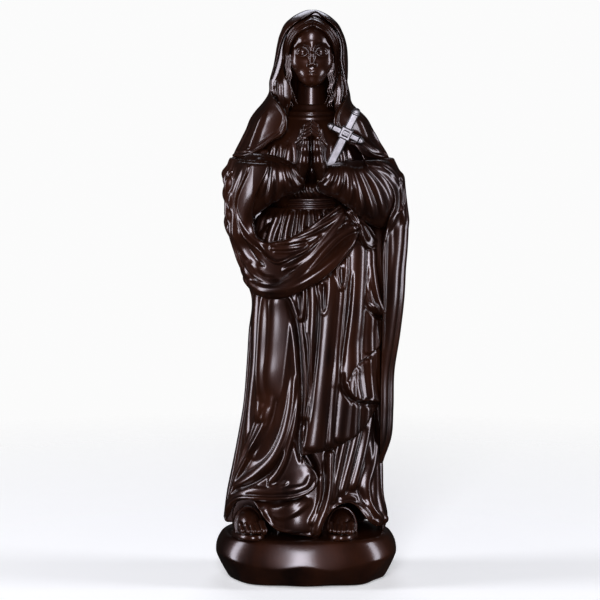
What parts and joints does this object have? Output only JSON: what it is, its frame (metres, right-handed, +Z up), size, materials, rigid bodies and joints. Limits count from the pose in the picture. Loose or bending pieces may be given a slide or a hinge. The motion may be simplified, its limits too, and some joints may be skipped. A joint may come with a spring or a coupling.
{
  "type": "madonna statue",
  "caption": "Carved standing figure in a veil and mantle with joined hands, on a rounded plinth, with a small sword that pulls out of a slot at the breast.",
  "frame": {"origin": "on the ground under the middle of the statue's outline", "axes": "+Z up, the figure faces -Y, its left hand side is +X"},
  "size_m": [0.1, 0.078, 0.3],
  "materials": {
    "dark_lacquered_wood": "dark brown lacquer, satin gloss",
    "hatched_sword": "finely hatched, pale bronze wash over dark lacquer",
    "beech_dowel": "plain",
    "screw_steel": "zinc plated",
    "felt": "dense wool felt"
  },
  "bodies": {
    "statue": {"felt_pad": "felt", "head": "dark_lacquered_wood", "left_foot": "dark_lacquered_wood", "left_hand": "dark_lacquered_wood", "left_sleeve": "dark_lacquered_wood", "mantle_back": "dark_lacquered_wood", "mantle_wrap": "dark_lacquered_wood", "neck_dowel": "beech_dowel", "overskirt": "dark_lacquered_wood", "plinth": "dark_lacquered_wood", "plinth_dowel": "beech_dowel", "plinth_screws": "screw_steel", "right_foot": "dark_lacquered_wood", "right_hand": "dark_lacquered_wood", "right_sleeve": "dark_lacquered_wood", "skirt_block": "dark_lacquered_wood", "torso_block": "dark_lacquered_wood", "veil": "dark_lacquered_wood", "waist_dowel": "beech_dowel", "waist_sash": "dark_lacquered_wood", "wrist_dowels": "beech_dowel"},
    "sword": {"guard_boss": "hatched_sword", "guard_finials": "hatched_sword", "sword_blade": "hatched_sword", "sword_grip": "hatched_sword", "sword_guard": "hatched_sword", "sword_pommel": "hatched_sword"}
  },
  "joints": [
    {"name": "sword_slide", "type": "slide", "parent": "statue", "child": "sword", "axis": [0.4314, -0.1564, 0.8885], "range_m": [0, 0.032]}
  ]
}
